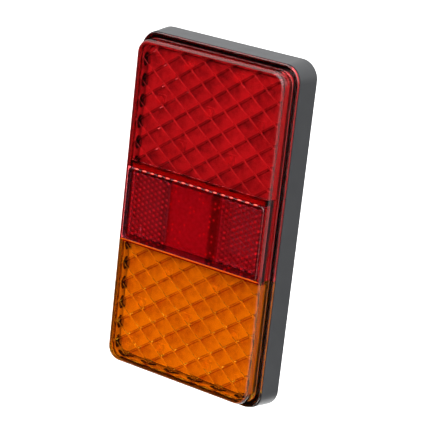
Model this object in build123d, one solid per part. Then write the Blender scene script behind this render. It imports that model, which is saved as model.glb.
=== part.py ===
from build123d import *
import math
import os

os.makedirs("parts", exist_ok=True)

# Rectangular two-colour trailer tail light, all lengths in millimetres.
# Frame: origin at the centre of the rear mounting face, front toward -Y, +Z up, +X right.

# ---------------- driving dimensions ----------------
# Housing
housing_width = 82.0
housing_height = 150.0
housing_corner_radius = 8.0
housing_depth = 10.4
housing_draft_inset = 1.2
groove_inner_land = 0.8
lip_thickness = 0.6
lip_side_gap = 0.15
lip_reach_gap = 1.0
lip_shelf_height = 1.5
lip_notch_margin = 0.4
floor_rear = 1.2
floor_thickness = 2.2
rear_rim_width = 3.5

# Lens shell
lens_front_depth = 18.4
flange_inset = 1.4
flange_thickness = 1.6
ledge_width = 2.35
skirt_thickness = 1.6
front_wall = 2.4
lens_edge_radius = 1.25
skirt_corner_radius = 6.2
tongue_width = 1.2
tongue_depth = 1.8
tongue_from_edge = 1.3

# Two chambers and the reflector between them
colour_split_z = -16.05
window_top_z = 16.1
window_side_wall = 1.35
lap_below_split = 1.55
lap_above_window = 2.2
frame_ledge = 2.2
rail_thickness = 1.6
frame_leg_thickness = 1.4
frame_leg_end_gap = 0.8
reflector_proud = 0.5
reflector_corner_radius = 1.8
reflector_zone_rib = 1.6
reflector_zone_split = 12.8
prism_depth = 1.3
tray_depth = 2.2
tray_wall = 0.9
reflector_side_gap = 0.7
reflector_end_gap = 0.25

# Pillow optics on the inner face of each lens
pillow_width = 12.5
pillow_height = 9.0
pillow_thickness = 0.8
pillow_groove_width = 1.3
window_margin = 0.4

# Circuit board and lamps
board_thickness = 1.6
lens_to_board = 3.6
potting_depth = 2.6
board_edge_gap = 2.2
board_corner_radius = 3.0
led_body_size = 5.0
led_body_height = 1.3
led_dome_radius = 1.7
led_dome_height = 0.5
led_pitch_share = 0.37
led_row_share = 0.34
red_field_position = 0.57
amber_field_position = 0.52

# Board fixings
board_screw_inset = 5.2
board_screw_shank = 2.4
board_screw_head = 5.0
board_screw_head_height = 1.3
board_boss_wall = 2.0

# Rear studs
stud_spacing = 50.0
stud_diameter = 5.0
stud_length = 18.0
stud_shoulder_rim = 0.5
stud_head_rim = 2.5
stud_head_thickness = 1.6
stud_boss_wall = 4.5

# Cable grommet
grommet_wall = 1.8
grommet_flange_rim = 2.0
grommet_flange_thickness = 1.0
cable_bore_diameter = 5.4
grommet_boss_wall = 2.5

# Clearances
slide_gap = 0.3
thread_gap = 0.15

# ---------------- derived positions (depths run toward -Y) ----------------
y_floor_rear = -floor_rear
y_floor = y_floor_rear - floor_thickness
y_rim = -housing_depth
y_flange = y_rim - flange_thickness
y_front = -lens_front_depth
y_lens_inner = y_front + front_wall
y_rail_back = y_lens_inner + rail_thickness
y_board_front = y_lens_inner + lens_to_board
y_board_back = y_board_front + board_thickness
y_groove = y_rim + tongue_depth + 0.7

rim_width = housing_width - 2 * housing_draft_inset
rim_height = housing_height - 2 * housing_draft_inset
rim_radius = housing_corner_radius - housing_draft_inset / 2
flange_width = housing_width - 2 * flange_inset
flange_height = housing_height - 2 * flange_inset
skirt_width = flange_width - 2 * ledge_width
skirt_height = flange_height - 2 * ledge_width
inner_width = skirt_width - 2 * skirt_thickness
inner_height = skirt_height - 2 * skirt_thickness
inner_radius = skirt_corner_radius - skirt_thickness
tongue_outer_width = flange_width - 2 * tongue_from_edge
tongue_outer_height = flange_height - 2 * tongue_from_edge
tongue_radius = rim_radius - tongue_from_edge
groove_core_width = tongue_outer_width - 2 * tongue_width - 2 * slide_gap
groove_core_height = tongue_outer_height - 2 * tongue_width - 2 * slide_gap
cavity_width = groove_core_width - 2 * groove_inner_land
cavity_height = groove_core_height - 2 * groove_inner_land
cavity_radius = housing_corner_radius - 3.0
lip_width = inner_width - 2 * lip_side_gap
lip_height = inner_height - 2 * lip_side_gap
lip_radius = inner_radius - lip_side_gap
board_width = cavity_width - 2 * board_edge_gap
board_height = cavity_height - 2 * board_edge_gap

lap_bottom_z = colour_split_z - lap_below_split
lap_top_z = window_top_z + lap_above_window
window_width = skirt_width - 2 * window_side_wall
window_height = window_top_z - colour_split_z
window_centre_z = (window_top_z + colour_split_z) / 2
ledge_opening_width = inner_width - 2 * frame_ledge
ledge_opening_height = window_height - 2 * frame_ledge
reflector_width = window_width - 2 * reflector_side_gap
reflector_height = window_height - 2 * reflector_end_gap
y_reflector_front = y_front - reflector_proud

led_pitch_x = led_pitch_share * board_width
red_chamber_height = board_height / 2 - lap_top_z
amber_chamber_height = board_height / 2 + lap_bottom_z
board_screw_x = board_width / 2 - board_screw_inset
board_screw_z = board_height / 2 - board_screw_inset
board_boss_diameter = board_screw_shank + 2 * board_boss_wall
stud_shoulder_diameter = stud_diameter + 2 * stud_shoulder_rim
stud_head_diameter = stud_diameter + 2 * stud_head_rim
stud_boss_diameter = stud_diameter + 2 * stud_boss_wall
grommet_neck_diameter = cable_bore_diameter + 2 * grommet_wall
grommet_flange_diameter = grommet_neck_diameter + 2 * grommet_flange_rim
grommet_boss_diameter = grommet_flange_diameter + 2 * grommet_boss_wall


def slab(width, height, radius, y_back, y_fore, x=0.0, z=0.0):
    """Rounded rectangular slab between two depths, centred on (x, z)."""
    plane = Plane.XZ.offset(-y_back)
    outline = plane * Pos(x, z) * RectangleRounded(width, height, radius)
    return extrude(outline, amount=y_back - y_fore)


def block(width, height, y_back, y_fore, x=0.0, z=0.0):
    """Square-cornered slab between two depths, centred on (x, z)."""
    plane = Plane.XZ.offset(-y_back)
    outline = plane * Pos(x, z) * Rectangle(width, height)
    return extrude(outline, amount=y_back - y_fore)


def disc(radius, y_back, y_fore, x=0.0, z=0.0):
    """Round slab along the depth axis between two depths."""
    plane = Plane.XZ.offset(-y_back)
    outline = plane * Pos(x, z) * Circle(radius)
    return extrude(outline, amount=y_back - y_fore)


def save(shape, name):
    """Write one named sub-part."""
    shape.label = name
    export_step(shape, "parts/" + name + ".step")


def board_screw_places():
    """Centres of the four board screws."""
    return [(sx * board_screw_x, sz * board_screw_z) for sx in (-1, 1) for sz in (-1, 1)]


def stud_places():
    """Centres of the two rear studs."""
    return [(0.0, stud_spacing / 2), (0.0, -stud_spacing / 2)]


def led_places(start_z, direction, field_position, chamber_height):
    """Seven lamps in staggered rows of two, three and two, going out from a chamber's inner end."""
    centre_z = start_z + direction * field_position * chamber_height
    pitch = led_row_share * chamber_height
    rows = [(pitch, (-0.5, 0.5)), (0.0, (-1, 0, 1)), (-pitch, (-0.5, 0.5))]
    return [(k * led_pitch_x, centre_z + dz) for dz, steps in rows for k in steps]


def housing():
    """Black tray: drafted walls, floor, rear rim, grooved front rim, bosses and holes."""
    base = Plane.XZ * RectangleRounded(housing_width, housing_height, housing_corner_radius)
    draft = math.degrees(math.atan(housing_draft_inset / housing_depth))
    tray = extrude(base, amount=housing_depth, taper=draft)
    tray -= slab(cavity_width, cavity_height, cavity_radius, y_floor, y_rim - 1.0)
    rear_w = housing_width - 2 * rear_rim_width
    rear_h = housing_height - 2 * rear_rim_width
    tray -= slab(rear_w, rear_h, housing_corner_radius - 3.0, 0.5, y_floor_rear)
    groove_outer = slab(tongue_outer_width + 2 * slide_gap, tongue_outer_height + 2 * slide_gap,
                        tongue_radius + slide_gap, y_groove, y_rim - 1.0)
    groove_core = slab(groove_core_width, groove_core_height, tongue_radius - tongue_width - slide_gap,
                       y_groove + 0.5, y_rim - 1.5)
    tray -= groove_outer - groove_core
    # black lip inside the lens skirt, cut back beside the reflector where its frame sits
    lip = slab(lip_width, lip_height, lip_radius, y_rim + lip_shelf_height, y_lens_inner + lip_reach_gap)
    shelf = slab(cavity_width + 0.8, cavity_height + 0.8, cavity_radius, y_rim + lip_shelf_height, y_rim)
    lip = lip + shelf
    lip -= slab(lip_width - 2 * lip_thickness, lip_height - 2 * lip_thickness, lip_radius - lip_thickness,
                0.0, y_front)
    notch_top = lap_top_z + lip_notch_margin
    notch_bottom = lap_bottom_z - lip_notch_margin
    lip -= block(housing_width, notch_top - notch_bottom, y_rim - lip_notch_margin, y_front, 0.0,
                 (notch_top + notch_bottom) / 2)
    tray += lip
    # rear stud bosses and grommet boss rise to the mounting plane
    for x, z in stud_places():
        tray += disc(stud_boss_diameter / 2, 0.0, y_floor_rear - 0.1, x, z)
    tray += disc(grommet_boss_diameter / 2, 0.0, y_floor_rear - 0.1)
    # cross ribs stiffen the thin rear floor
    for z in (-housing_height * 0.32, housing_height * 0.32):
        tray += block(rear_w + 1.0, 1.6, -0.2, y_floor_rear - 0.1, 0.0, z)
    for side in (-1, 1):
        tray += block(1.6, rear_h + 1.0, -0.2, y_floor_rear - 0.1, side * housing_width * 0.26, 0.0)
    for x, z in board_screw_places():
        tray += disc(board_boss_diameter / 2, y_floor + 0.1, y_board_back, x, z)
    # holes
    for x, z in stud_places():
        tray -= disc(stud_shoulder_diameter / 2 + thread_gap, 1.0, y_floor - 1.0, x, z)
    tray -= disc(grommet_neck_diameter / 2 + thread_gap, 1.0, y_floor - 1.0)
    tray -= disc(grommet_flange_diameter / 2 + slide_gap, 1.0, -grommet_flange_thickness)
    for x, z in board_screw_places():
        tray -= disc(board_screw_shank / 2 + thread_gap, y_floor + 1.4, y_board_back - 1.0, x, z)
    return tray


def lens_shell():
    """Full clear cup: front wall, skirt, flange and tongue, before the colours are split."""
    cup = slab(skirt_width, skirt_height, skirt_corner_radius, y_flange + 0.5, y_front)
    cup = fillet(cup.faces().sort_by(Axis.Y)[0].edges(), lens_edge_radius)
    cup += slab(flange_width, flange_height, rim_radius, y_rim, y_flange)
    cup -= slab(inner_width, inner_height, inner_radius, y_rim + 1.0, y_lens_inner)
    tongue = slab(tongue_outer_width, tongue_outer_height, tongue_radius, y_rim + tongue_depth, y_flange + 0.5)
    tongue -= slab(tongue_outer_width - 2 * tongue_width, tongue_outer_height - 2 * tongue_width,
                   tongue_radius - tongue_width, y_rim + tongue_depth + 1.0, y_flange)
    return cup + tongue


def half_space(z_low, z_high):
    """Box that keeps everything between two heights."""
    return block(housing_width * 2, z_high - z_low, 5.0, y_front - 5.0, 0.0, (z_low + z_high) / 2)


def groove_bar(slope, offset_x, length):
    """One vee-section bar along a pillow boundary through (offset_x, centre)."""
    w = pillow_groove_width / 2
    top = y_lens_inner
    section = Polygon((-w, top + pillow_thickness + 0.05), (w, top + pillow_thickness + 0.05), (0, top + 0.1),
                      align=None)
    bar = extrude(section, amount=length / 2, both=True)
    angle = 90 - slope * math.degrees(math.atan(pillow_height / pillow_width))
    return Pos(offset_x, 0, 0) * Rot(0, angle, 0) * bar


def pillow_pad(z_low, z_high):
    """Pillow optics: a thin pad cut by two families of vee grooves into diamonds."""
    width = inner_width - 2 * window_margin
    height = z_high - z_low
    centre = (z_low + z_high) / 2
    pad = slab(width, height, 3.0, y_lens_inner + pillow_thickness, y_lens_inner - 0.05, 0.0, centre)
    reach = int((width + height * pillow_width / pillow_height) / pillow_width / 2) + 1
    length = math.hypot(width, height) * 1.3
    bars = []
    for k in range(-reach, reach + 1):
        for slope in (-1, 1):
            bars.append(Pos(0, 0, centre) * groove_bar(slope, (k + 0.25) * pillow_width, length))
    return pad - bars


def red_lens():
    """Upper red window with the frame that carries the reflector."""
    part = lens_shell() & half_space(colour_split_z, housing_height)
    part -= block(window_width, window_height + 1.0, y_lens_inner + 0.01, y_front - 1.0, 0.0,
                  window_centre_z - 0.5)
    rail = block(inner_width - 2 * slide_gap, lap_top_z - lap_bottom_z, y_rail_back, y_lens_inner, 0.0,
                 (lap_top_z + lap_bottom_z) / 2)
    sides = block(inner_width + 0.4, lap_top_z - colour_split_z, y_rail_back, y_lens_inner, 0.0,
                  (lap_top_z + colour_split_z) / 2)
    frame = rail + sides
    frame -= block(ledge_opening_width, ledge_opening_height, y_rail_back + 1.0, y_lens_inner - 1.0, 0.0,
                   window_centre_z)
    part += frame
    # deep legs close the sides of the reflector's bay
    for side in (-1, 1):
        leg_x = side * (inner_width / 2 - frame_leg_thickness / 2 + 0.1)
        part += block(frame_leg_thickness + 0.2, lap_top_z - colour_split_z, y_rim - frame_leg_end_gap,
                      y_lens_inner, leg_x, (lap_top_z + colour_split_z) / 2)
    top = skirt_height / 2 - skirt_thickness - window_margin
    return part + pillow_pad(lap_top_z + 0.4, top)


def amber_lens():
    """Lower amber window."""
    part = lens_shell() & half_space(-housing_height, colour_split_z)
    low = -(skirt_height / 2 - skirt_thickness - window_margin)
    return part + pillow_pad(low, lap_bottom_z - 0.4)


def reflex_reflector():
    """Clear red reflector plate with three rear pockets for its prism fields."""
    plate = slab(reflector_width, reflector_height, reflector_corner_radius, y_lens_inner,
                 y_reflector_front, 0.0, window_centre_z)
    plate = fillet(plate.faces().sort_by(Axis.Y)[0].edges(), 0.4)
    field_w = ledge_opening_width - 2 * tray_wall - 2 * slide_gap
    field_h = ledge_opening_height - 2 * tray_wall - 2 * slide_gap
    edges = [-field_w / 2, -reflector_zone_split, reflector_zone_split, field_w / 2]
    for k in range(3):
        left = edges[k] + (reflector_zone_rib / 2 if k > 0 else 0)
        right = edges[k + 1] - (reflector_zone_rib / 2 if k < 2 else 0)
        plate -= block(right - left, field_h, y_lens_inner + 0.5, y_lens_inner - prism_depth,
                       (left + right) / 2, window_centre_z)
    return plate


def reflector_tray():
    """Shallow backing tray that seals the air gap behind the prisms."""
    w = ledge_opening_width - 2 * slide_gap
    h = ledge_opening_height - 2 * slide_gap
    back = y_lens_inner + tray_depth
    tray = block(w, h, back, y_lens_inner, 0.0, window_centre_z)
    tray -= block(w - 2 * tray_wall, h - 2 * tray_wall, back - tray_wall, y_lens_inner - 1.0, 0.0,
                  window_centre_z)
    return tray


def chamber_wall(z):
    """Upright wall from the board to the rail that keeps the two colours apart."""
    return block(board_width - 4.0, 1.4, y_board_front, y_rail_back, 0.0, z)


def sealant_bead():
    """Bead lying in the bottom of the rim groove, under the tongue."""
    w = tongue_outer_width + slide_gap
    h = tongue_outer_height + slide_gap
    bead = slab(w, h, tongue_radius, y_groove, y_rim + tongue_depth)
    cut = 2 * tongue_width + 2 * slide_gap
    bead -= slab(w - cut, h - cut, tongue_radius - tongue_width, y_groove + 1.0, y_rim + tongue_depth - 1.0)
    return bead


def potting():
    """Resin layer on the tray floor, round the bosses, stud heads and grommet."""
    layer = slab(cavity_width - 2 * slide_gap, cavity_height - 2 * slide_gap, cavity_radius - slide_gap,
                 y_floor, y_floor - potting_depth)
    for x, z in board_screw_places():
        layer -= disc(board_boss_diameter / 2 + slide_gap, y_floor + 1.0, y_board_back - 1.0, x, z)
    for x, z in stud_places():
        layer -= disc(stud_head_diameter / 2 + slide_gap, y_floor + 1.0, y_board_back - 1.0, x, z)
    layer -= disc(grommet_flange_diameter / 2 + slide_gap, y_floor + 1.0, y_board_back - 1.0)
    return layer


def circuit_board():
    """Single board that carries every lamp, with holes for its screws."""
    board = slab(board_width, board_height, board_corner_radius, y_board_back, y_board_front)
    for x, z in board_screw_places():
        board -= disc(board_screw_shank / 2 + slide_gap, y_board_back + 1.0, y_board_front - 1.0, x, z)
    return board


def led(x, z):
    """Square-bodied lamp with a low clear dome."""
    top = y_board_front - led_body_height
    body = slab(led_body_size, led_body_size, 0.5, y_board_front, top, x, z)
    dome = disc(led_dome_radius, top + 0.2, top - led_dome_height, x, z)
    dome = fillet(dome.faces().sort_by(Axis.Y)[0].edges(), led_dome_height * 0.8)
    return body + dome


def board_screws():
    """Four pan-head screws that clamp the board onto its bosses."""
    screws = []
    for x, z in board_screw_places():
        head = disc(board_screw_head / 2, y_board_front, y_board_front - board_screw_head_height, x, z)
        head = fillet(head.faces().sort_by(Axis.Y)[0].edges(), 0.5)
        head -= block(board_screw_head * 0.62, 0.7, y_board_front - board_screw_head_height + 0.6,
                      y_board_front - board_screw_head_height - 1.0, x, z)
        head -= block(0.7, board_screw_head * 0.62, y_board_front - board_screw_head_height + 0.6,
                      y_board_front - board_screw_head_height - 1.0, x, z)
        shank = disc(board_screw_shank / 2, y_floor + 1.2, y_board_front - 0.2, x, z)
        screws.append(head + shank)
    return Compound(children=screws)


def resistors():
    """Six current-limiting resistors in a row behind the reflector."""
    pitch = board_width / 7.5
    return Compound(children=[
        block(6.4, 3.2, y_board_front, y_board_front - 0.7, (k - 2.5) * pitch, 5.0) for k in range(6)
    ])


def diodes():
    """Two reverse-polarity diodes below the resistors."""
    return Compound(children=[
        slab(4.6, 2.7, 0.3, y_board_front, y_board_front - 1.1, side * 12.0, -3.0) for side in (-1, 1)
    ])


def solder_terminals():
    """Three solder domes where the lead wires meet the board."""
    domes = []
    for k in (-1, 0, 1):
        dome = disc(1.5, y_board_front, y_board_front - 0.9, k * 5.0, -8.5)
        domes.append(fillet(dome.faces().sort_by(Axis.Y)[0].edges(), 0.6))
    return Compound(children=domes)


def mounting_studs():
    """Two studs with a plain shoulder in the floor and a round head bedded in the resin."""
    studs = []
    for x, z in stud_places():
        shank = disc(stud_diameter / 2, stud_length, -0.1, x, z)
        shank = chamfer(shank.faces().sort_by(Axis.Y)[-1].edges(), 0.5)
        shank += disc(stud_shoulder_diameter / 2, -0.05, y_floor - 0.2, x, z)
        head = disc(stud_head_diameter / 2, y_floor, y_floor - stud_head_thickness, x, z)
        studs.append(shank + head)
    return Compound(children=studs)


def cable_grommet():
    """Rubber bush for the lead: neck in the floor hole, flange seated in the rear boss."""
    neck = disc(grommet_neck_diameter / 2, -grommet_flange_thickness, y_floor - 0.8)
    flange = disc(grommet_flange_diameter / 2, -0.1, -grommet_flange_thickness)
    inside = disc(grommet_flange_diameter / 2, y_floor, y_floor - 1.2)
    bush = neck + flange + inside
    return bush - disc(cable_bore_diameter / 2, 1.0, y_floor - 3.0)


save(housing(), "housing")
save(red_lens(), "red_lens")
save(amber_lens(), "amber_lens")
save(reflex_reflector(), "reflex_reflector")
save(reflector_tray(), "reflector_tray")
save(chamber_wall(window_centre_z + ledge_opening_height / 2 + frame_ledge / 2), "upper_light_wall")
save(chamber_wall(window_centre_z - ledge_opening_height / 2 - frame_ledge / 2), "lower_light_wall")
save(sealant_bead(), "sealant_bead")
save(potting(), "potting_resin")
save(circuit_board(), "circuit_board")
for number, (x, z) in enumerate(led_places(lap_top_z, 1, red_field_position, red_chamber_height), 1):
    save(led(x, z), "red_led_" + str(number))
for number, (x, z) in enumerate(led_places(lap_bottom_z, -1, amber_field_position, amber_chamber_height), 1):
    save(led(x, z), "amber_led_" + str(number))
save(board_screws(), "board_screws")
save(resistors(), "resistors")
save(diodes(), "diodes")
save(solder_terminals(), "solder_terminals")
save(mounting_studs(), "mounting_studs")
save(cable_grommet(), "cable_grommet")
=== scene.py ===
import math

import bmesh
import bpy
import numpy as np
from mathutils import Matrix, Vector


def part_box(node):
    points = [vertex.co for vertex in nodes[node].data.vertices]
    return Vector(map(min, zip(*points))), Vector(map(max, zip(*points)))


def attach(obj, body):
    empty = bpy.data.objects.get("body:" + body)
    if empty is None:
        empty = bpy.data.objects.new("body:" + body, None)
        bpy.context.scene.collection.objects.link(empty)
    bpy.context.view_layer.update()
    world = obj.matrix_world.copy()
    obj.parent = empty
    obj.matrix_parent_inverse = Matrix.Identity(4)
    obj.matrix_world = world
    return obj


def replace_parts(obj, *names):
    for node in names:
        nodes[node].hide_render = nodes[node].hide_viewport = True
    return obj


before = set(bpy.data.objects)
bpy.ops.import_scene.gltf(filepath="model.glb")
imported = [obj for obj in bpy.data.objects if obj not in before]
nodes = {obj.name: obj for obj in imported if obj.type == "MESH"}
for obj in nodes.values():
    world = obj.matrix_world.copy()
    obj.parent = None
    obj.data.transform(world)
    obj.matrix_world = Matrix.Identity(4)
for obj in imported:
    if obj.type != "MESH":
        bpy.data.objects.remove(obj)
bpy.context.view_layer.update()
MM = 0.001

# ---------------------------------------------------------------- sizes, in millimetres
lens_low, lens_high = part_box("red_lens")
FRONT_Y = lens_low.y / MM
RIM_Y = FRONT_Y + 8.0
TONGUE_Y = lens_high.y / MM
LEDGE_Y = RIM_Y - 1.6
INNER_Y = FRONT_Y + 2.4
FLANGE_HALF = (lens_high.x / MM, lens_high.z / MM)
FLANGE_WIDTH = 2.35
FLANGE_RADIUS = 7.4
FLANGE_SOFT_EDGE = 0.3
SKIRT_HALF = (FLANGE_HALF[0] - FLANGE_WIDTH, FLANGE_HALF[1] - FLANGE_WIDTH)
SKIRT_RADIUS = 6.2
SKIRT_WALL = 1.6
SKIRT_FOOT_FILLET = 0.25
INNER_HALF = (SKIRT_HALF[0] - SKIRT_WALL, SKIRT_HALF[1] - SKIRT_WALL)
INNER_RADIUS = SKIRT_RADIUS - SKIRT_WALL
EDGE_RADIUS = 1.45
TONGUE_INSETS = (1.3, 2.5)
SPLIT_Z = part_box("amber_lens")[1].z / MM
WINDOW_TOP = 16.1
REFLECTOR_Z = (WINDOW_TOP + SPLIT_Z) / 2
FRAME_WIDTH = 2.2
FRAME_TOP = WINDOW_TOP + FRAME_WIDTH
FRAME_BOTTOM = lens_low.z / MM
PILLOW_HALF = (6.25, 4.5)
PILLOW_STEPS = 12
COLUMN_COUNT = 80
DISH_RADIUS = 23.0
DISH_FLOOR = 0.12
DISH_LIMIT = 0.62
OPTICS_MARGIN = 0.42
OPTICS_GAP = 0.45
CREASE = 0.05
FRAME_DEEP_Y = INNER_Y + 1.6
LEG_DEEP_Y = RIM_Y - 0.8
LEG_THICK = 1.4
FOOT_Y = RIM_Y - 0.32
LIP_INNER = (34.9, 68.9, 3.85)
SCALLOP_Y = INNER_Y + 3.1
LIP_OUTSIDE_Y = INNER_Y + 3.2
LIP_THICKNESS = 0.6
OPTICS_START = 17.5
PLATE_CORNER, PLATE_ROLL, PLATE_PROUD = 1.8, 0.45, 0.5
PRISM_ACROSS = 2.37
PRISM_SHARE = (0.20, 0.06, 0.22)
PRISM_ZONE = 12.8
PRISM_MARGIN = (2.3, 2.4)
PRISM_SINK = 0.07
BAND_X = (-14.9, 10.5)
RIB_COUNT, RIB_PITCH, RIB_LENGTH = 16, 4.1, 2.2
RIB_HALF = (0.38, 0.40)
BEAD_RADIUS = 0.27
CLEARANCE = 0.02
STUD_Z = 25.0
STUD_SIDES = 36
LAMP_TOP_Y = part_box("red_led_1")[0].y / MM + 0.5

# Directions of the studio's cards and lamp, and how strongly each acts.
DARK_CARD, DARK_CUT = (-0.541, -0.793, -0.28), 0.985
GREY_CARD, GREY_CUT = (0.64, 0.71, -0.28), 0.82
LAMP_WAY, LAMP_GAIN = (0.25, -0.60, 0.76), 4.0
ROOM_LEVEL = 1.05


# ---------------------------------------------------------------- mesh helpers
def make_piece(name, points, faces, material, smooth_angle=None, weld=1e-7):
    """A mesh object from point rows in millimetres, welded, closed and turned outward."""
    mesh = bpy.data.meshes.new(name)
    mesh.from_pydata((np.asarray(points, float) * MM).tolist(), [], faces)
    work = bmesh.new()
    work.from_mesh(mesh)
    bmesh.ops.remove_doubles(work, verts=work.verts, dist=weld)
    bmesh.ops.dissolve_degenerate(work, edges=work.edges, dist=weld)
    bmesh.ops.recalc_face_normals(work, faces=work.faces)
    work.to_mesh(mesh)
    work.free()
    if smooth_angle is not None:
        mesh.polygons.foreach_set("use_smooth", np.ones(len(mesh.polygons), bool))
        mesh.set_sharp_from_angle(angle=math.radians(smooth_angle))
    piece = bpy.data.objects.new(name, mesh)
    bpy.context.scene.collection.objects.link(piece)
    mesh.materials.append(material)
    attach(piece, "root")
    return piece


def grid_faces(rows, columns, start=0, close_columns=False):
    """Quads between neighbours of a rows-by-columns grid of points that begins at index start."""
    r = np.arange(rows - 1)[:, None]
    c = np.arange(columns if close_columns else columns - 1)[None, :]
    nxt = (c + 1) % columns
    a = start + r * columns + c
    b = start + r * columns + nxt
    d = start + (r + 1) * columns + c
    e = start + (r + 1) * columns + nxt
    return np.stack([a, b, e, d], -1).reshape(-1, 4)


def cut_quads(quads, other_way):
    """Two triangles from each quad, cut from its second to its fourth corner where other_way holds."""
    first = np.where(other_way[:, None], quads[:, [0, 1, 3]], quads[:, [0, 1, 2]])
    second = np.where(other_way[:, None], quads[:, [1, 2, 3]], quads[:, [0, 2, 3]])
    return np.concatenate([first, second])


def rounded_loop(half_w, half_h, radius):
    """Closed rounded rectangle: a quarter circle about each corner centre, joined by straight sides."""
    t = np.linspace(0, math.pi / 2, 21)
    cx, cz = half_w - radius, half_h - radius
    out = []
    for k, (sx, sz) in enumerate(((1, 1), (-1, 1), (-1, -1), (1, -1))):
        a = t + k * math.pi / 2
        out.append(np.stack([sx * cx + radius * np.cos(a), sz * cz + radius * np.sin(a)], 1))
    return np.concatenate(out)


# ---------------------------------------------------------------- lens optics
def dish_height(x, z, sign):
    """Thickness behind the flat inner wall: a shallow sphere sunk into each diamond cell.

    u = x/a + z/b and v = x/a - z/b count the cells along the two diagonals. The cell centre is where
    both are whole numbers of the cell's own parity, and the height is the squared distance from that
    centre over twice the dish radius, levelled off by a hyperbolic tangent below the limit.
    """
    a, b = PILLOW_HALF
    xs = x - 0.5 * a
    zs = z * sign
    u = xs / a + zs / b
    v = xs / a - zs / b
    cu = 2 * np.floor(u / 2) + 1
    cv = 2 * np.floor(v / 2) + 1
    xc = (cu + cv) / 2 * a
    zc = (cu - cv) / 2 * b
    rise = ((xs - xc) ** 2 + (zs - zc) ** 2) / (2 * DISH_RADIUS)
    return DISH_FLOOR + DISH_LIMIT * np.tanh(rise / DISH_LIMIT)


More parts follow.
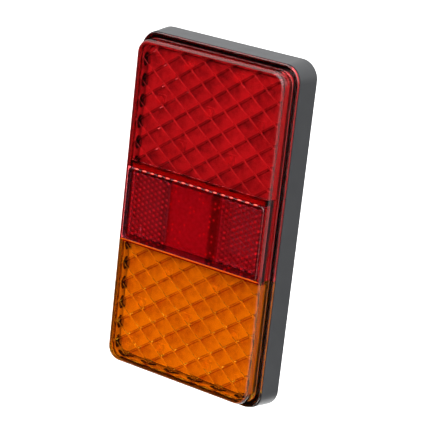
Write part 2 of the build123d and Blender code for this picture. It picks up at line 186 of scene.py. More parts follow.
def lens_piece(name, side, open_from, plate_from, material):
    """A lens half: a flat front plate with dished optics behind it and a U-shaped skirt.

    side is +1 for the upper half and -1 for the lower one. Rows run along s = side * z, from the
    open end, up the straight side, then round the corner by angle. Columns run across. The front
    and inner plates share rows and columns, each point held inside that surface's own rounded
    outline, and the skirt carries a profile of (half width, half height, corner radius, depth)
    along the same outline, so all three share their border points.
    """
    a, b = PILLOW_HALF
    corner_s = SKIRT_HALF[1] - SKIRT_RADIUS
    corner_x = SKIRT_HALF[0] - SKIRT_RADIUS
    pad_x = INNER_HALF[0] - OPTICS_MARGIN
    pad_low = OPTICS_GAP + (FRAME_TOP if side > 0 else -FRAME_BOTTOM)
    pad_top = INNER_HALF[1] - OPTICS_MARGIN
    step_x, step_s = a / PILLOW_STEPS, b / PILLOW_STEPS
    lattice = np.arange(math.ceil(plate_from / step_s), corner_s / step_s) * step_s
    lattice = lattice[(lattice > plate_from + CREASE) & (lattice < corner_s - CREASE)]
    lattice = lattice[np.abs(lattice - pad_low) > 0.12]
    straight = np.concatenate([[plate_from, pad_low - CREASE, pad_low + CREASE, corner_s], lattice])
    if plate_from > open_from:
        straight = np.concatenate([straight, np.linspace(open_from, plate_from, 24)[:-1]])
    straight = np.unique(np.round(straight, 5))
    turn = np.linspace(0, math.pi / 2, 25)[1:]
    pad_turn = math.asin((pad_top - corner_s) / INNER_RADIUS)
    turn = np.unique(np.concatenate([turn, [pad_turn - 0.012, pad_turn + 0.012]]))
    first = int(np.searchsorted(straight, plate_from - 1e-6))
    columns = np.arange(-COLUMN_COUNT, COLUMN_COUNT + 1) * step_x
    columns = columns[np.abs(columns) < INNER_HALF[0] - 0.1]
    extra = [pad_x - CREASE, pad_x + CREASE, corner_x]
    columns = columns[np.min(np.abs(np.abs(columns)[:, None] - np.array(extra)[None]), 1) > 0.1]
    columns = np.sort(np.concatenate([columns, extra, [-e for e in extra]]))

    def outline(half_w, half_h, radius):
        """Border rows (x, s) of this surface's own outline, and its corner centre's x."""
        cs, cx = half_h - radius, half_w - radius
        s = open_from + (straight - open_from) * (cs - open_from) / (corner_s - open_from)
        x = np.full(len(s), half_w)
        return (np.concatenate([x, cx + radius * np.cos(turn)]),
                np.concatenate([s, cs + radius * np.sin(turn)]), cx)

    def plate(half_w, half_h, radius, depth):
        """Grid of the plate's points: columns clipped to the outline's half width in each row."""
        x, s, _ = outline(half_w, half_h, radius)
        x, s = x[first:, None], s[first:, None]
        c = np.concatenate([[-99.0], columns, [99.0]])[None, :]
        gx = np.clip(c, -x, x)
        gs = np.broadcast_to(s, gx.shape)
        return np.stack([gx, np.broadcast_to(depth(gx, gs), gx.shape), gs], -1)

    def inner_depth(x, s):
        """Inner wall depth: the dish height inside the optics window, flat outside it."""
        qx = np.abs(x) - (INNER_HALF[0] - INNER_RADIUS)
        qs = s - corner_s
        edge = np.hypot(np.maximum(qx, 0), np.maximum(qs, 0)) + np.minimum(np.maximum(qx, qs), 0)
        edge = edge - INNER_RADIUS
        inside = (edge < -OPTICS_MARGIN) & (s > pad_low)
        return INNER_Y + np.where(inside, dish_height(x, s * side, side), 0.0)

    front_half = (SKIRT_HALF[0] - EDGE_RADIUS, SKIRT_HALF[1] - EDGE_RADIUS)
    front = plate(*front_half, SKIRT_RADIUS - EDGE_RADIUS, lambda x, s: FRONT_Y + 0 * x)
    inner = plate(*INNER_HALF, INNER_RADIUS, inner_depth)

    profile = []
    def section(half, radius, inset, depth):
        """One loop of the skirt: the rounded rectangle drawn in by the inset, at a depth."""
        profile.append((half[0] - inset, half[1] - inset, radius - inset, depth))
    for q in np.linspace(0, math.pi / 2, 17):
        section(SKIRT_HALF, SKIRT_RADIUS, EDGE_RADIUS * (1 - math.sin(q)),
                FRONT_Y + EDGE_RADIUS * (1 - math.cos(q)))
    for q in np.linspace(0, math.pi / 2, 5):
        section(SKIRT_HALF, SKIRT_RADIUS, -SKIRT_FOOT_FILLET * (1 - math.cos(q)),
                LEDGE_Y - SKIRT_FOOT_FILLET * (1 - math.sin(q)))
    for q in np.linspace(0, math.pi / 2, 6):
        section(FLANGE_HALF, FLANGE_RADIUS, FLANGE_SOFT_EDGE * (1 - math.sin(q)),
                LEDGE_Y + FLANGE_SOFT_EDGE * (1 - math.cos(q)))
    section(FLANGE_HALF, FLANGE_RADIUS, 0.0, FOOT_Y)
    section(FLANGE_HALF, FLANGE_RADIUS, TONGUE_INSETS[0], FOOT_Y)
    section(FLANGE_HALF, FLANGE_RADIUS, TONGUE_INSETS[0], TONGUE_Y)
    section(FLANGE_HALF, FLANGE_RADIUS, TONGUE_INSETS[1], TONGUE_Y)
    section(FLANGE_HALF, FLANGE_RADIUS, TONGUE_INSETS[1], FOOT_Y)
    section(INNER_HALF, INNER_RADIUS, 0.0, FOOT_Y)
    section(INNER_HALF, INNER_RADIUS, 0.0, INNER_Y)

    top_columns = columns[np.abs(columns) <= corner_x + 1e-6]
    bands = []
    for half_w, half_h, radius, depth in profile:
        x, s, cx = outline(half_w, half_h, radius)
        top_x = top_columns[1:-1] * cx / corner_x
        px = np.concatenate([-x, top_x, x[::-1]])
        ps = np.concatenate([s, np.full(len(top_x), half_h), s[::-1]])
        bands.append(np.stack([px, np.full(len(px), depth), ps], 1))
    bands = np.array(bands)

    points, faces = [], []
    def add(block, quads):
        """Add a block of points with faces counted from its first one."""
        quads = np.asarray(quads) + sum(len(p) for p in points)
        points.append(block.reshape(-1, 3))
        faces.extend(quads.tolist())
    def split_quads(grid):
        """Quads cut along the diagonal that a dish border runs along, so every border stays sharp."""
        q = grid_faces(*grid.shape[:2])
        p = grid.reshape(-1, 3)[q].mean(1)
        u = (p[:, 0] - 0.5 * a) / a + p[:, 2] / b
        on_border = np.abs(u / 2 - np.round(u / 2)) < 0.3 / PILLOW_STEPS
        return cut_quads(q, on_border)
    add(front, grid_faces(*front.shape[:2]))
    add(inner, split_quads(inner))
    add(bands, grid_faces(*bands.shape[:2]))
    bar = np.stack([front[0], inner[0]])
    add(bar, grid_faces(2, bar.shape[1]))
    if first > 0:
        for cols in (slice(0, first + 1), slice(-first - 1, None)):
            wall = np.stack([bands[0][cols], bands[-1][cols]])
            add(wall, grid_faces(2, wall.shape[1]))
    count = len(profile)
    for k in (0, -1):
        add(bands[:, k], [list(range(count))])
    cloud = np.concatenate(points)
    cloud[:, 2] *= side
    return make_piece(name, cloud, faces, material, smooth_angle=9)


# ---------------------------------------------------------------- shader helpers
class Value:
    """A socket in a node tree. Arithmetic on it adds Math nodes to the same tree."""

    def __init__(self, graph, socket):
        self.graph, self.socket = graph, socket

    def _math(self, operation, first, second=0.0):
        return self.graph.node("ShaderNodeMath", {"operation": operation}, {0: first, 1: second})

    def __add__(self, other):
        return self._math("ADD", self, other)

    __radd__ = __add__

    def __mul__(self, other):
        return self._math("MULTIPLY", self, other)

    __rmul__ = __mul__

    def __sub__(self, other):
        return self._math("SUBTRACT", self, other)

    def __rsub__(self, other):
        return self._math("SUBTRACT", other, self)

    def __pow__(self, other):
        return self._math("POWER", self, other)

    def __gt__(self, limit):
        return self._math("GREATER_THAN", self, limit)

    def __lt__(self, limit):
        return self._math("LESS_THAN", self, limit)

    def __abs__(self):
        return self._math("ABSOLUTE", self)

    def fraction(self):
        return self._math("FRACT", self)

    def whole(self):
        return self._math("FLOOR", self)


class Graph:
    """A node tree and the one method that adds nodes to it."""

    def __init__(self, tree):
        self.tree = tree
        tree.nodes.clear()

    def node(self, kind, settings, inputs, output=0):
        """Add any node: settings first, then each input's value or link."""
        made = self.tree.nodes.new(kind)
        for key, value in settings.items():
            setattr(made, key, value)
        for key, value in inputs.items():
            if isinstance(value, Value):
                self.tree.links.new(value.socket, made.inputs[key])
            else:
                made.inputs[key].default_value = value
        return Value(self, made.outputs[output])

    def place(self):
        """Object coordinates."""
        return self.node("ShaderNodeTexCoord", {}, {}, "Object")

    def stretched(self, x, y, z):
        """Object coordinates scaled along each axis."""
        return self.node("ShaderNodeMapping", {}, {"Vector": self.place(), "Scale": (x, y, z)})

    def axes(self):
        """The three object coordinates, in millimetres."""
        made = self.node("ShaderNodeSeparateXYZ", {}, {0: self.place()})
        return [Value(self, socket) * 1000.0 for socket in made.socket.node.outputs]

    def noise(self, scale, detail=3.0, roughness=0.5, where=None):
        inputs = {"Vector": where or self.place(), "Scale": scale, "Detail": detail, "Roughness": roughness}
        return self.node("ShaderNodeTexNoise", {}, inputs, "Fac")

    def mix(self, factor, first, second):
        return self.node("ShaderNodeMix", {"data_type": "RGBA"}, {0: factor, 6: first, 7: second}, 2)

    def soft(self, value, low, high):
        """Smooth step: 0 below low, 1 above high."""
        return self.node("ShaderNodeMapRange", {"interpolation_type": "SMOOTHSTEP"},
                         {0: value, 1: low, 2: high, 3: 0.0, 4: 1.0})

    def bump(self, height, strength, distance):
        inputs = {"Height": height, "Strength": strength, "Distance": distance}
        return self.node("ShaderNodeBump", {}, inputs)


class Finish(Graph):
    """A procedural material: one Principled shader and the nodes that vary it."""

    def __init__(self, name, constants):
        self.material = bpy.data.materials.new(name)
        self.material.use_nodes = True
        super().__init__(self.material.node_tree)
        self.shader = self.tree.nodes.new("ShaderNodeBsdfPrincipled")
        output = self.tree.nodes.new("ShaderNodeOutputMaterial")
        self.tree.links.new(self.shader.outputs[0], output.inputs["Surface"])
        for key, value in constants.items():
            self.shader.inputs[key].default_value = value

    def vary(self, **sockets):
        """Link each value to the shader socket of that name."""
        for key, value in sockets.items():
            self.tree.links.new(value.socket, self.shader.inputs[key.replace("_", " ")])


def rgba(shade):
    """The shade with full alpha."""
    return (*shade, 1.0)


def lens_plastic(name, skin, pale, deep, crease_shade, crease_highlight):
    """Clear plastic whose tint is laid out on the pillow optics on its inner face, with painted light and shade.

    Rising borders lie where r = x/a - z/b is even and falling ones where x/a + z/b is. The tint goes
    from deep at the upper left of a cell to pale at its lower right, a painted shading ramp, with two thin
    dark lines of painted shade beside each rising border, broken at the crossings, and one thin pale
    line of painted highlight on a falling one.
    """
    f = Finish(name, {"Transmission Weight": 1.0, "IOR": 1.49})
    x, y, z = f.axes()
    a, b = PILLOW_HALF
    across = (x - 0.5 * a) * (1 / a)
    rising = (across - z * (1 / b)) * 0.5
    falling = (across + z * (1 / b)) * 0.5
    step = rising.fraction()
    lean = falling.fraction()
    pitch = 2 * a * b / math.hypot(a, b)
    from_rising = (0.5 - abs(step - 0.5)) * pitch
    from_falling = (0.5 - abs(lean - 0.5)) * pitch
    cell = f.node("ShaderNodeCombineXYZ", {}, {0: rising.whole(), 1: falling.whole()})
    chance = f.node("ShaderNodeTexWhiteNoise", {"noise_dimensions": "3D"}, {"Vector": cell})
    swirl = f.noise(330.0, 2.0, 0.5)
    # Painted shade and light: the tone ramps from the shaded upper left of each cell to its lit lower right, plus a
    # random tone per cell and a slow swirl.
    tone = 0.15 + 0.50 * step + 0.22 * lean + 0.14 * chance + 0.8 * (swirl - 0.5)
    tint = f.mix(f.soft(tone, 0.08, 0.92), rgba(deep), rgba(pale))
    unbroken = f.soft(from_falling, 0.20, 0.75)
    # Painted shade: two thin dark lines beside each rising border, broken at the crossings.
    shade_dash = f.soft(from_rising, 0.0, 0.16) * (1.0 - f.soft(from_rising, 0.50, 0.80)) * unbroken
    tint = f.mix(shade_dash * 0.80, tint, rgba(crease_shade))
    # Painted highlight: one thin pale line on each falling border.
    line = 1.0 - f.soft(from_falling, 0.12, 0.50)
    tint = f.mix(line * 0.50, tint, rgba(crease_highlight))
    optics = (y > INNER_Y - 0.3) * (y < INNER_Y + 2.6)
    optics = optics * (abs(x) < INNER_HALF[0] - 0.1) * (abs(z) < INNER_HALF[1] - 0.1)
    optics = optics * (abs(z) > OPTICS_START)
    f.vary(Base_Color=f.mix(optics, rgba(skin), tint))
    f.vary(Roughness=0.015 + 0.03 * f.noise(900.0, 2.0) ** 2.0)
    f.vary(Normal=f.bump(f.noise(420.0, 2.0), 0.04, 0.0002))
    return f.material


def reflector_plastic(name, light, deep, outer, shade, glint):
    """Clear red of the reflector, with painted glints at the prism corners on the surfaces behind its front.

    Corners lie on two interleaved rectangular grids of three half-hexagons by one pitch. A painted glint is
    a round dot in the left zone, a slanting streak in the right one and a rare speck in the middle.
    The left and right zones and two bands are painted darker as shade, with dark dots in the bands.
    """
    f = Finish(name, {"Transmission Weight": 1.0, "IOR": 1.49})
    x, y, z = f.axes()
    column, pitch = PRISM_ACROSS * math.sqrt(3) / 2, PRISM_ACROSS
    flow = f.mix(f.soft(f.noise(620.0, 2.0), 0.30, 0.70), rgba(light), rgba(deep))
    dots, streaks, specks = 0.0, 0.0, 0.0
    # Painted glints at the prism corners: round dots, slanting streaks and rare specks.
    for shift in (0.0, 0.5):
        across, rising = x * (0.5 / column) + shift, (z - REFLECTOR_Z) * (1 / pitch) + shift
        dx = (across.fraction() - 0.5) * (2 * column)
        dz = (rising.fraction() - 0.5) * pitch
        spread = dx * dx + dz * dz
        cell = f.node("ShaderNodeCombineXYZ", {}, {0: across.whole() + 7 * shift, 1: rising.whole()})
        chance = f.node("ShaderNodeTexWhiteNoise", {"noise_dimensions": "3D"}, {"Vector": cell})
        dots = dots + (1.0 - f.soft(spread, 0.12, 0.50)) * (0.45 + 0.55 * chance)
        along, side = dx * 0.80 + dz * 0.60, dz * 0.80 - dx * 0.60
        streak = 1.0 - f.soft(along * along * 0.35 + side * side * 3.0, 0.10, 0.50)
        streaks = streaks + streak * (0.2 + 0.8 * chance)
        specks = specks + (1.0 - f.soft(spread, 0.08, 0.45)) * (chance > 0.74)
    left_zone, right_zone = f.soft(x, -13.5, -16.5), f.soft(x, 13.5, 15.5)
    # All the painted glints together; they go only on the rear surfaces.
    marks = dots * left_zone + streaks * right_zone * 0.95 + specks
    # Painted shade: the left and right zones are darker.
    flow = f.mix((left_zone + right_zone) * 0.85, flow, rgba(outer))
    # Painted shade: two darker vertical bands, with dark dots in them.
    left_band, right_band = [1.0 - f.soft(abs(x - middle), 1.2, 3.2) for middle in BAND_X]
    shade_band = left_band + right_band
    ground = f.mix(shade_band * 0.92, flow, rgba(shade))
    ground = f.mix(shade_band * dots * 0.7, ground, rgba((0.04, 0.001, 0.003)))
    rear = y > FRONT_Y + 0.8
    f.vary(Base_Color=f.mix(rear, rgba((0.97, 0.10, 0.16)), f.mix(marks * rear, ground, rgba(glint))))
    f.vary(Roughness=0.03 + 0.05 * f.noise(700.0, 2.0))
    f.vary(Normal=f.bump(f.noise(420.0, 2.0), 0.04, 0.0002))
    return f.material


def moulded_plastic(name, dark, light, roughness, grain=2600.0, strength=0.25):
    """Textured opaque moulding: fine spark grain, with a slow drift of tone and gloss."""
    f = Finish(name, {"Specular IOR Level": 0.5})
    f.vary(Base_Color=f.mix(f.noise(60.0, 4.0, 0.6), rgba(dark), rgba(light)))
    f.vary(Roughness=roughness - 0.08 + 0.16 * f.noise(150.0, 3.0))
    f.vary(Normal=f.bump(f.noise(grain, 2.0, 0.6), strength, 0.00008))
    return f.material


def housing_plastic(name, dark, light, painted_light_liner):
    """Black moulding with a fine grain, and a white skin of painted light on its upright lip.

    The lip's two faces are told apart by their distance from rounded rectangles a little outside
    them. The skin covers the inner face, cut by one black crescent of painted shade to each pillow
    along the edge. A thinner skin of painted light covers the front of the outer face beside the windows.
    """
    f = Finish(name, {"Specular IOR Level": 0.5})
    x, y, z = f.axes()
    half_w, half_h, radius = LIP_INNER
    qx, qz = abs(x) - (half_w - radius), abs(z) - (half_h - radius)
    qx, qz = qx * (qx > 0.0), qz * (qz > 0.0)
    reach = qx * qx + qz * qz
    inside = reach < (radius + 0.12) ** 2
    outside = (reach < (radius + LIP_THICKNESS + 0.10) ** 2) * (1.0 - inside)
    deep = (y - SCALLOP_Y) * (1 / 1.9)
    hollow = (deep - 0.85) * (deep - 0.85)
    tall, wide = 2 * PILLOW_HALF[1], 2 * PILLOW_HALF[0]
    up = (((z + 1.0) * (1 / tall) + 0.5).fraction() - 0.5) * (tall / 2.9)
    over = (((x + 5.0) * (1 / wide) + 0.5).fraction() - 0.5) * (wide / 3.8)
    on_side = abs(x) > half_w - 0.4
    run = on_side * up * up + (1.0 - on_side) * over * over
    # Painted shade: one black crescent to each pillow along the edge of the lip's inner face.
    shade_crescent = (run + deep * deep < 1.0) * (run + hollow > 0.50)
    # Painted light: the white on the lip's inner face, and a thinner coat on the front of its outer face beside the
    # windows.
    skin = inside * (y < RIM_Y - 0.1) * (1.0 - shade_crescent)
    skin = skin + 0.55 * outside * (y < LIP_OUTSIDE_Y) * (abs(z) > OPTICS_START)
    f.vary(Base_Color=f.mix(skin, f.mix(f.noise(60.0, 4.0, 0.6), rgba(dark), rgba(light)), rgba(painted_light_liner)))
    f.vary(Roughness=0.30 + 0.14 * f.noise(150.0, 3.0))
    f.vary(Normal=f.bump(f.noise(2600.0, 2.0, 0.6), 0.25, 0.00008))
    return f.material


def plated_steel(name, tint, roughness):
    """Bright zinc plate: cloudy passivation tint and fine turning marks."""
    f = Finish(name, {"Metallic": 1.0})
    shade = tuple(c * 0.72 for c in tint)
    f.vary(Base_Color=f.mix(f.noise(260.0, 4.0, 0.6), rgba(tint), rgba(shade)))
    f.vary(Roughness=roughness - 0.06 + 0.18 * f.noise(520.0, 3.0))
    f.vary(Normal=f.bump(f.noise(900.0, 3.0, 0.5, f.stretched(1.0, 6.0, 1.0)), 0.12, 0.00005))
    return f.material


def cast_resin(name, dark, light):
    """Poured resin: glossy skin with faint waves and small trapped specks."""
    f = Finish(name, {"Coat Weight": 0.6, "Coat Roughness": 0.08})
    specks = f.noise(1400.0, 1.0) > 0.72
    f.vary(Base_Color=f.mix(specks, rgba(dark), rgba(light)))
    f.vary(Roughness=0.18 + 0.2 * f.noise(90.0, 2.0))
    f.vary(Normal=f.bump(f.noise(120.0, 2.0), 0.2, 0.0003))
    return f.material


def glazed_lamp(name, body, glow):
    """Lamp package: matt ceramic body and a smooth glossy dome, told apart by their depth."""
    f = Finish(name, {"Specular IOR Level": 0.5})
    x, y, z = f.axes()
    dome = y < LAMP_TOP_Y - 0.02
    f.vary(Base_Color=f.mix(dome, rgba(body), rgba(glow)))
    f.vary(Roughness=0.5 - 0.38 * dome + 0.06 * f.noise(700.0, 2.0))
    return f.material


def painted_glint_finish(name, light, deep):
    """Bright finish of painted glints under a clear gloss."""
    f = Finish(name, {"IOR": 1.49, "Coat Weight": 1.0, "Coat Roughness": 0.05})
    f.vary(Base_Color=f.mix(f.noise(300.0), rgba(light), rgba(deep)))
    f.vary(Roughness=0.2 + 0.2 * f.noise(600.0))
    return f.material


# The pale and deep colours are the lit and shaded ends of the painted shading across each cell; the dark line
# colour is painted shade and the pale line colour a painted highlight.
red_clear = lens_plastic(
    "clear_red", skin=(0.985, 0.085, 0.095), pale=(0.66, 0.082, 0.106), deep=(0.080, 0.007, 0.018),
    crease_shade=(0.050, 0.002, 0.004), crease_highlight=(0.95, 0.19, 0.20))
amber_clear = lens_plastic(
    "clear_amber", skin=(1.0, 0.40, 0.012), pale=(1.0, 0.48, 0.014), deep=(0.42, 0.072, 0.004),
    crease_shade=(0.24, 0.022, 0.002), crease_highlight=(1.0, 0.62, 0.10))
# The outer colour is the painted shade of the side zones, the shade colour that of the two bands, and the glint
# colour the painted glints.
reflector_clear = reflector_plastic(
    "reflector_red", light=(0.58, 0.14, 0.38), deep=(0.40, 0.09, 0.26), outer=(0.21, 0.008, 0.036),
    shade=(0.13, 0.002, 0.010), glint=(1.0, 0.10, 0.16))
frame_red = moulded_plastic("frame_red", (0.24, 0.012, 0.022), (0.32, 0.018, 0.03), 0.25)
# The white lip colour is painted light.
housing_black = housing_plastic(
    "housing_black", dark=(0.020, 0.021, 0.023), light=(0.031, 0.032, 0.034), painted_light_liner=(0.85, 0.85, 0.83))
board_white = moulded_plastic(
    "white_solder_mask", (0.86, 0.86, 0.85), (0.93, 0.93, 0.92), 0.32, grain=900.0, strength=0.1)
wall_white = moulded_plastic("white_moulding", (0.82, 0.82, 0.80), (0.90, 0.90, 0.88), 0.4)
tray_red = moulded_plastic("tray_red", (0.62, 0.04, 0.06), (0.72, 0.05, 0.07), 0.35)
steel = plated_steel("zinc_steel", (0.62, 0.62, 0.61), 0.32)
solder = plated_steel("bright_solder", (0.86, 0.86, 0.85), 0.22)
resin = cast_resin("black_resin", (0.018, 0.018, 0.02), (0.06, 0.06, 0.065))
sealant = moulded_plastic(
    "pale_sealant", (0.42, 0.42, 0.41), (0.52, 0.52, 0.50), 0.55, grain=700.0, strength=0.3)
rubber = moulded_plastic(
    "black_rubber", (0.016, 0.016, 0.016), (0.026, 0.026, 0.027), 0.62, grain=1600.0, strength=0.35)
lamp_red = glazed_lamp("lamp_red_window", (0.90, 0.89, 0.86), (0.95, 0.80, 0.76))
lamp_amber = glazed_lamp("lamp_amber_window", (0.90, 0.89, 0.86), (0.96, 0.88, 0.70))
resistor_black = moulded_plastic(
    "resistor_black", (0.02, 0.02, 0.022), (0.05, 0.05, 0.05), 0.35, grain=1200.0, strength=0.2)
diode_black = moulded_plastic(
    "diode_black", (0.015, 0.015, 0.016), (0.03, 0.03, 0.03), 0.3, grain=1500.0, strength=0.2)
# The amber edge bead's bright orange is a painted highlight of the lit edge.
bead_highlight = moulded_plastic(
    "painted_highlight_amber_edge", (0.85, 0.22, 0.02), (0.95, 0.34, 0.04), 0.25, grain=900.0, strength=0.1)
# The edge ribs' bright red is painted glints.
rib_glint = painted_glint_finish("painted_glint_rib", (0.95, 0.12, 0.06), (0.85, 0.06, 0.03))


# ---------------------------------------------------------------- reflector, its frame and small pieces
def box_tube(outer, inner, deep, shallow):
    """Rectangular ring of a square section: its four corner loops joined in turn.

    outer and inner are (half width, top, bottom); deep and shallow are the section's depths.
    """
    section = ((outer, shallow), (outer, deep), (inner, deep), (inner, shallow))
    loops = [[(half, depth, top), (-half, depth, top), (-half, depth, low), (half, depth, low)]
             for (half, top, low), depth in section]
    return np.array(loops + loops[:1]).reshape(-1, 3), grid_faces(5, 4, close_columns=True)


def seal_skin():
    """Thin skin of sealant under the lens foot: four rounded rectangles joined in a ring."""
    outset, inset = 0.08, TONGUE_INSETS[1] + 0.05
    outer = (FLANGE_HALF[0] - inset, FLANGE_HALF[1] - inset, FLANGE_RADIUS - inset)
    inner = (INNER_HALF[0] + outset, INNER_HALF[1] + outset, INNER_RADIUS + outset)
    front, back = FOOT_Y + CLEARANCE, RIM_Y - CLEARANCE
    loops = []
    for shape, depth in ((outer, front), (outer, back), (inner, back), (inner, front)):
        flat = rounded_loop(*shape)
        loops.append(np.stack([flat[:, 0], np.full(len(flat), depth), flat[:, 1]], 1))
    grid = np.array(loops + loops[:1])
    faces = grid_faces(5, grid.shape[1], close_columns=True).tolist()
    return make_piece("seal_skin", grid.reshape(-1, 3), faces, sealant, smooth_angle=30)


def leg_block(side):
    """One leg of the frame: a block along the skirt, its section loop carried from top to bottom."""
    out, half = INNER_HALF[0] - CLEARANCE, INNER_HALF[0] - LEG_THICK
    front = INNER_Y + CLEARANCE
    section = [(out, front), (out, LEG_DEEP_Y), (half, LEG_DEEP_Y), (half, front)]
    return np.array([[(side * x, y, z) for x, y in section] for z in (FRAME_TOP, SPLIT_Z)])


def reflector_frame():
    """Frame behind the reflector: the flat ring that carries it and a deep leg at each side."""
    outer = (INNER_HALF[0] - CLEARANCE, FRAME_TOP, FRAME_BOTTOM)
    inner = (outer[0] - FRAME_WIDTH, WINDOW_TOP - FRAME_WIDTH, SPLIT_Z + FRAME_WIDTH)
    points, faces = box_tube(outer, inner, FRAME_DEEP_Y, INNER_Y + CLEARANCE)
    points, faces = [points], faces.tolist()
    for side in (-1, 1):
        start = sum(len(p) for p in points)
        points.append(leg_block(side).reshape(-1, 3))
        faces += grid_faces(2, 4, start, close_columns=True).tolist()
        faces += [[start + k for k in range(4)], [start + 4 + k for k in range(4)]]
    return make_piece("reflector_frame", np.concatenate(points), faces, frame_red, weld=1e-9)


def prism_level(column, row):
    """Cube-corner heights, in steps, at half-hexagon columns and half-pitch rows.

    Along a row the level goes 0 (deepest corner), 1/2, 1, 3/2, 2 (nearest corner), 1 and repeats;
    each row up starts half a repeat later.
    """
    return np.array([0.0, 0.5, 1.0, 1.5, 2.0, 1.0])[np.mod(column + 3 * row, 6)]


def reflector_plate():
    """Clear plate: flat front with rolled edges, and a rear face of shallow cube corners.

    The rear face is a grid whose columns and rows pass through every corner of the hexagons. Each
    grid cell is cut along the diagonal that an edge of a cube face follows, so all faces are flat.
    The sides are loops of the same border, drawn in along a quarter circle to roll the front edge.
    """
    low, high = [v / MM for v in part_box("reflex_reflector")]
    half_w, mid, half_h = high.x, (high.z + low.z) / 2, (high.z - low.z) / 2
    straight, back = half_h - PLATE_CORNER, high.y
    step_x, step_z = PRISM_ACROSS / math.sqrt(3) / 2, PRISM_ACROSS / 2
    depth_step = PRISM_ACROSS / math.sqrt(3) / math.sqrt(2)
    last_col, last_row = int((half_w - 0.2) / step_x), int(straight / step_z)
    cols, rows = np.arange(-last_col, last_col + 1), np.arange(-last_row, last_row + 1)
    arc = np.linspace(0, math.pi / 2, 7)[1:]
    s_rows = np.concatenate([-straight, rows * step_z, straight], axis=None)
    s_arc = straight + PLATE_CORNER * np.sin(arc)
    x_arc = half_w - PLATE_CORNER + PLATE_CORNER * np.cos(arc)
    zs = np.concatenate([-s_arc[::-1], s_rows, s_arc])
    xs = np.concatenate([x_arc[::-1], np.full(len(s_rows), half_w), x_arc])
    border = 999
    row_id = np.concatenate([np.full(7, border), rows, np.full(7, border)])
    col_id = np.concatenate([[border], cols, [border]])
    col_x = np.concatenate([[-99.0], cols * step_x, [99.0]])
    gx = np.clip(col_x[None, :], -xs[:, None], xs[:, None])
    gz = np.broadcast_to(zs[:, None], gx.shape)
    ci, ri = np.meshgrid(col_id, row_id)
    centre = np.abs(gx) < PRISM_ZONE
    level = np.where(centre, prism_level(-ci, ri), prism_level(ci, ri))
    field = (np.abs(gx) < half_w - PRISM_MARGIN[0]) & (np.abs(gz) < half_h - PRISM_MARGIN[1])
    field = field & (ri != border) & (ci != border)
    seam = np.abs(np.abs(gx) - PRISM_ZONE) < 0.7
    share = np.where(centre, PRISM_SHARE[1], np.where(gx < 0, PRISM_SHARE[0], PRISM_SHARE[2]))
    depth = back - np.where(field, PRISM_SINK + ~seam * level * depth_step * share, 0.0)
    rear = np.stack([gx, depth, gz], -1)
    plain_way = np.isin(np.mod(ci + 3 * ri, 6), [1, 5])
    mirror_way = np.isin(np.mod(-ci - 1 + 3 * ri, 6), [2, 4])
    other_way = np.where(centre, mirror_way, plain_way)[:-1, :-1].reshape(-1)
    faces = cut_quads(grid_faces(*gx.shape), other_way).tolist()
    points = [rear.reshape(-1, 3)]
    left = np.stack([-xs, zs], 1)
    right = np.stack([xs, zs], 1)[::-1]
    top = np.stack([gx[-1, 1:-1], gz[-1, 1:-1]], 1)
    bottom = np.stack([gx[0, 1:-1], gz[0, 1:-1]], 1)[::-1]
    loop = np.concatenate([left, top, right, bottom])
    front = FRONT_Y - PLATE_PROUD
    rings = [(0.0, back), (0.0, front + PLATE_ROLL)]
    rings += [(PLATE_ROLL * (1 - math.cos(t)), front + PLATE_ROLL * (1 - math.sin(t)))
              for t in np.linspace(0, math.pi / 2, 6)[1:]]
    sides = []
    for inset, y in rings:
        px = loop[:, 0] * (half_w - inset) / half_w
        pz = loop[:, 1] * (half_h - inset) / half_h
        sides.append(np.stack([px, np.full(len(px), y), pz], 1))
    sides = np.array(sides)
    start = len(points[0])
    points.append(sides.reshape(-1, 3))
    faces += grid_faces(len(sides), len(loop), start, close_columns=True).tolist()
    faces.append([start + (len(sides) - 1) * len(loop) + k for k in range(len(loop))])
    cloud = np.concatenate(points)
    cloud[:, 2] += mid
    return make_piece("reflector_plate", cloud, faces, reflector_clear)


def edge_glint_ribs():
    """Row of short rounded bright ribs along the plate's upper front edge, painted glints of that edge.

    Each rib is a half ellipse section swept along x, its size following a sine from end to end.
    """
    low, high = [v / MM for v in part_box("reflex_reflector")]
    rows, sides = 9, 8
    along = np.linspace(0, 1, rows)
    around = np.linspace(0, 2 * math.pi, sides + 1)[:-1]
    size = np.sin(np.pi * np.clip(along, 0.02, 0.98))[:, None] ** 0.5
    points, faces = [], []
    for k in range(RIB_COUNT):
        x = (k - (RIB_COUNT - 1) / 2) * RIB_PITCH + (along - 0.5) * RIB_LENGTH
        gx = np.broadcast_to(x[:, None], (rows, sides))
        gy = low.y + 0.42 + RIB_HALF[0] * size * np.cos(around)
        gz = high.z - 0.26 + RIB_HALF[1] * size * np.sin(around)
        start, end = k * rows * sides, (k + 1) * rows * sides
        points.append(np.stack([gx, gy, gz], -1).reshape(-1, 3))
        faces += grid_faces(rows, sides, start, close_columns=True).tolist()
        faces += [list(range(start, start + sides)), list(range(end - sides, end))]
    return make_piece("plate_edge_glint_ribs", np.concatenate(points), faces, rib_glint,
                      smooth_angle=60)


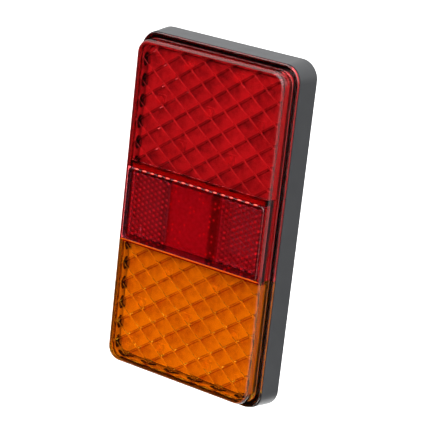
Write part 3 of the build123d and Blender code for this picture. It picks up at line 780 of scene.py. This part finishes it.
def amber_highlight_bead():
    """Bright bead along the amber half's upper edge, a painted highlight of that lit edge: a circle carried across,
    drawn in at both ends.
    """
    rows, sides = 41, 12
    along = np.linspace(-1, 1, rows)
    around = np.linspace(0, 2 * math.pi, sides + 1)[:-1]
    size = BEAD_RADIUS * np.sqrt(np.clip(1 - np.abs(along) ** 40, 0.01, 1))
    gx = np.broadcast_to((along * (SKIRT_HALF[0] - 0.9))[:, None], (rows, sides))
    gy = FRONT_Y + BEAD_RADIUS + 0.01 + size[:, None] * np.cos(around)
    gz = SPLIT_Z - 0.25 + size[:, None] * np.sin(around)
    faces = grid_faces(rows, sides, close_columns=True).tolist()
    faces += [list(range(sides)), list(range((rows - 1) * sides, rows * sides))]
    cloud = np.stack([gx, gy, gz], -1).reshape(-1, 3)
    return make_piece("amber_edge_highlight_bead", cloud, faces, bead_highlight, smooth_angle=60)


def stud_surface(tip, head_y):
    """Threaded stud: its radius follows a saw of the height less the turn, up to a tapered tip.

    Rows of (height, radius) give the head, the shoulder in the floor and the plain neck first.
    """
    radius, root, pitch, shoulder, head, floor = 2.5, 2.02, 0.8, 3.0, 5.0, -3.4
    turn = np.linspace(0, 2 * math.pi, STUD_SIDES + 1)[:-1]
    shaft = np.arange(0.4, tip + 0.01, 0.1)
    phase = np.mod(shaft[:, None] / pitch - turn[None, :] / (2 * math.pi), 1.0)
    thread = root + (radius - root) * np.clip(1.3 * (1 - np.abs(2 * phase - 1)) - 0.1, 0, 1)
    cut = np.minimum(thread, radius - 0.5 + np.clip(tip - shaft, 0, 0.5)[:, None])
    rows = [(head_y, 0.02), (head_y, head - 0.3), (head_y + 0.3, head), (floor, head),
            (floor, shoulder), (0.0, shoulder), (0.0, root), (0.4, root)]
    y = np.concatenate([[row[0] for row in rows], shaft, [tip]])
    base = np.array([[row[1]] * STUD_SIDES for row in rows])
    radii = np.concatenate([base, cut, np.full((1, STUD_SIDES), 0.02)])
    gy = np.broadcast_to(y[:, None], radii.shape)
    return np.stack([radii * np.cos(turn), gy, radii * np.sin(turn)], -1)


def studs():
    """Both rear studs as one piece."""
    low, high = [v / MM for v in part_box("mounting_studs")]
    grid = stud_surface(high.y, low.y)
    rows = len(grid)
    points, faces = [], []
    for k, z in enumerate((STUD_Z, -STUD_Z)):
        start, end = k * rows * STUD_SIDES, (k + 1) * rows * STUD_SIDES
        points.append(grid.reshape(-1, 3) + np.array([0.0, 0.0, z]))
        faces += grid_faces(rows, STUD_SIDES, start, close_columns=True).tolist()
        faces += [list(range(start, start + STUD_SIDES)), list(range(end - STUD_SIDES, end))]
    return make_piece("threaded_studs", np.concatenate(points), faces, steel, smooth_angle=40)


# ---------------------------------------------------------------- pieces
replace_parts(lens_piece("red_window", 1, SPLIT_Z + CLEARANCE, WINDOW_TOP, red_clear), "red_lens")
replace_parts(reflector_frame(), "red_lens")
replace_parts(lens_piece("amber_window", -1, -SPLIT_Z + CLEARANCE, -SPLIT_Z + CLEARANCE, amber_clear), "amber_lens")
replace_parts(reflector_plate(), "reflex_reflector")
edge_glint_ribs()
amber_highlight_bead()
seal_skin()
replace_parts(studs(), "mounting_studs")

finishes = {
    "housing": housing_black, "reflector_tray": tray_red, "upper_light_wall": wall_white,
    "lower_light_wall": wall_white, "sealant_bead": sealant, "potting_resin": resin,
    "circuit_board": board_white, "board_screws": wall_white, "resistors": resistor_black,
    "diodes": diode_black, "solder_terminals": solder, "cable_grommet": rubber,
}
finishes.update({"red_led_%d" % k: lamp_red for k in range(1, 8)})
finishes.update({"amber_led_%d" % k: lamp_amber for k in range(1, 8)})
for name, finish in finishes.items():
    node = nodes[name]
    node.data.materials.clear()
    node.data.materials.append(finish)


# ---------------------------------------------------------------- stage
def ground():
    """Wide pale floor behind and below the object, in metres."""
    f = Finish("pale_floor", {"Roughness": 0.9})
    f.vary(Base_Color=f.mix(f.noise(2.0), rgba((0.80, 0.80, 0.80)), rgba((0.79, 0.79, 0.79))))
    left, right, near, far, level = -4, 0.2, -0.05, 6, -0.45
    corners = [(left, near, level), (right, near, level), (right, far, level), (left, far, level)]
    mesh = bpy.data.meshes.new("floor")
    mesh.from_pydata(corners, [], [(0, 1, 2, 3)])
    mesh.materials.append(f.material)
    floor = bpy.data.objects.new("floor", mesh)
    bpy.context.scene.collection.objects.link(floor)


def studio():
    """White room with one soft lamp above, a dark card low in front and a grey one low behind.

    The level of light is the room's own plus the lamp's, cut by each card where it stands.
    """
    world = bpy.data.worlds.new("studio")
    bpy.context.scene.world = world
    world.use_nodes = True
    g = Graph(world.node_tree)
    way = g.node("ShaderNodeTexCoord", {}, {}, "Generated")

    def toward(direction):
        """Cosine of the angle to a direction."""
        return g.node("ShaderNodeVectorMath", {"operation": "DOT_PRODUCT"},
                      {0: way, 1: Vector(direction).normalized()}, "Value")

    card = g.soft(toward(DARK_CARD), 0.62, 0.88)
    lamp = g.soft(toward(LAMP_WAY), 0.35, 0.95)
    side_card = g.soft(toward(GREY_CARD), 0.90, 0.98)
    level = (ROOM_LEVEL + LAMP_GAIN * lamp) * (1.0 - DARK_CUT * card) * (1.0 - GREY_CUT * side_card)
    shade = g.node("ShaderNodeCombineXYZ", {}, {0: level, 1: level, 2: level})
    light = g.node("ShaderNodeBackground", {}, {0: shade, 1: 1.0})
    out = g.tree.nodes.new("ShaderNodeOutputWorld")
    g.tree.links.new(light.socket, out.inputs[0])


ground()
studio()

# ---------------------------------------------------------------- camera
azimuth, elevation, roll = math.radians(34.28), math.radians(16.25), math.radians(6.46)
distance, aim = 0.81206, Vector((-1.109, 0.0, -0.082)) * MM
frame_width, focal_share = 36.0, 1916.25 / 430
back = Vector((math.sin(azimuth) * math.cos(elevation), -math.cos(azimuth) * math.cos(elevation),
               math.sin(elevation)))
right = Vector((0, 0, 1)).cross(back).normalized()
up = back.cross(right)
turned_right = math.cos(roll) * right + math.sin(roll) * up
turned_up = -math.sin(roll) * right + math.cos(roll) * up
camera_data = bpy.data.cameras.new("camera")
camera_data.lens = focal_share * frame_width
camera_data.clip_start = 0.01
camera = bpy.data.objects.new("camera", camera_data)
camera.matrix_world = Matrix.Translation(aim + distance * back) @ Matrix(
    (turned_right, turned_up, back)).transposed().to_4x4()
bpy.context.scene.collection.objects.link(camera)
bpy.context.scene.camera = camera
bpy.context.scene.view_settings.view_transform = "Standard"
